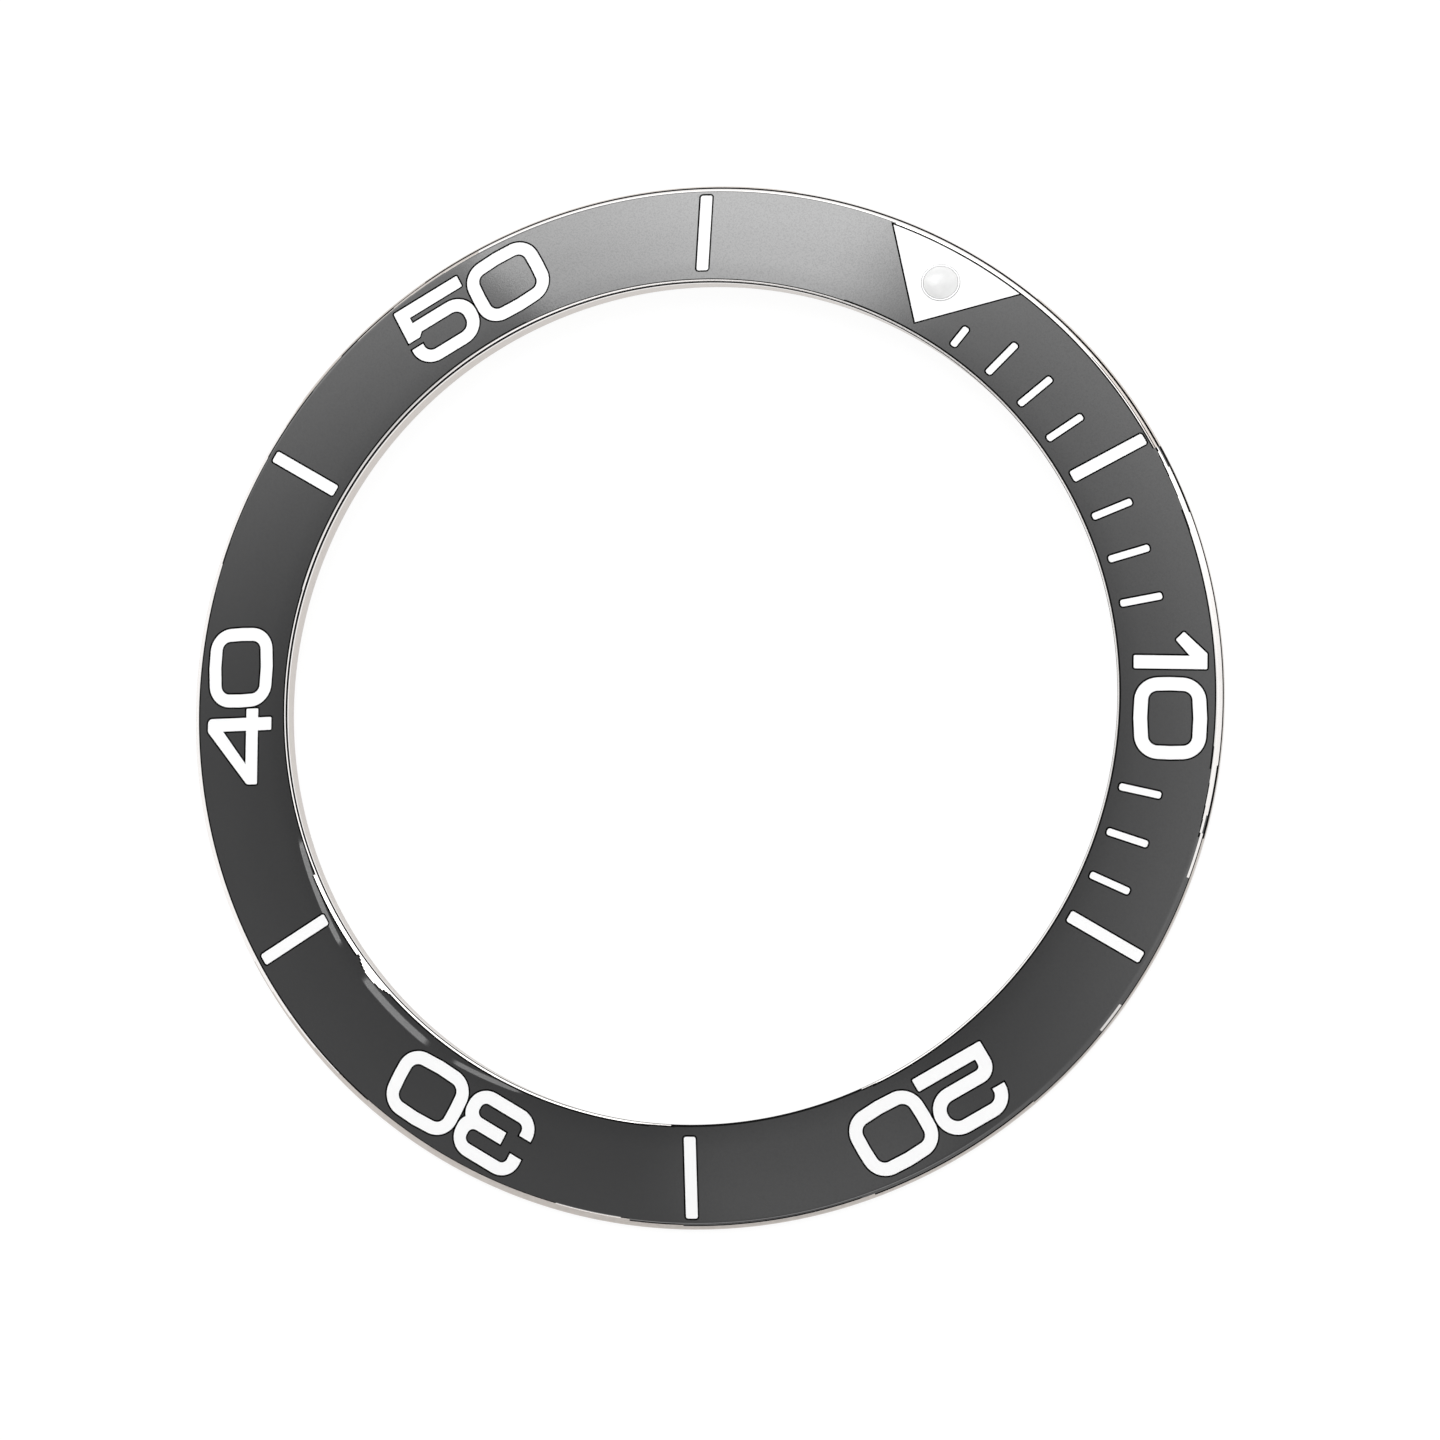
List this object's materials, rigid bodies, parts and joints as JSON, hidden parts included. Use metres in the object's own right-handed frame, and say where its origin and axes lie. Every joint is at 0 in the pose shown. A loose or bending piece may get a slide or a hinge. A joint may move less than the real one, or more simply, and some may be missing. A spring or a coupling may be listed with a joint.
{
  "type": "watch bezel insert",
  "caption": "Sloped, polished black ring with a sunk white minute scale, numerals and a luminous pip, set into a diver's watch bezel.",
  "frame": {"origin": "on the ring's axis, in the plane of its flat back", "axes": "+Z out of the numbered face; +Y towards the zero mark with its pip; minutes run clockwise seen from +Z, so the 15-minute bar is at +X"},
  "size_m": [0.038, 0.038, 0.0011],
  "materials": {
    "ring": "gloss",
    "filling": "satin",
    "cup_metal": "polished",
    "lume": "matte",
    "lens": "gloss"
  },
  "bodies": {
    "root": {"bezel_ring": "ring", "zero_triangle": "filling", "pip_cup": "cup_metal", "pip_lume": "lume", "pip_lens": "lens", "bar_05": "filling", "bar_15": "filling", "bar_25": "filling", "bar_35": "filling", "bar_45": "filling", "bar_55": "filling", "tick_01": "filling", "tick_02": "filling", "tick_03": "filling", "tick_04": "filling", "tick_06": "filling", "tick_07": "filling", "tick_08": "filling", "tick_12": "filling", "tick_13": "filling", "tick_14": "filling", "numeral_10_one": "filling", "numeral_10_zero": "filling", "numeral_20_two": "filling", "numeral_20_zero": "filling", "numeral_30_three": "filling", "numeral_30_zero": "filling", "numeral_40_four": "filling", "numeral_40_zero": "filling", "numeral_50_five": "filling", "numeral_50_zero": "filling"}
  },
  "joints": []
}
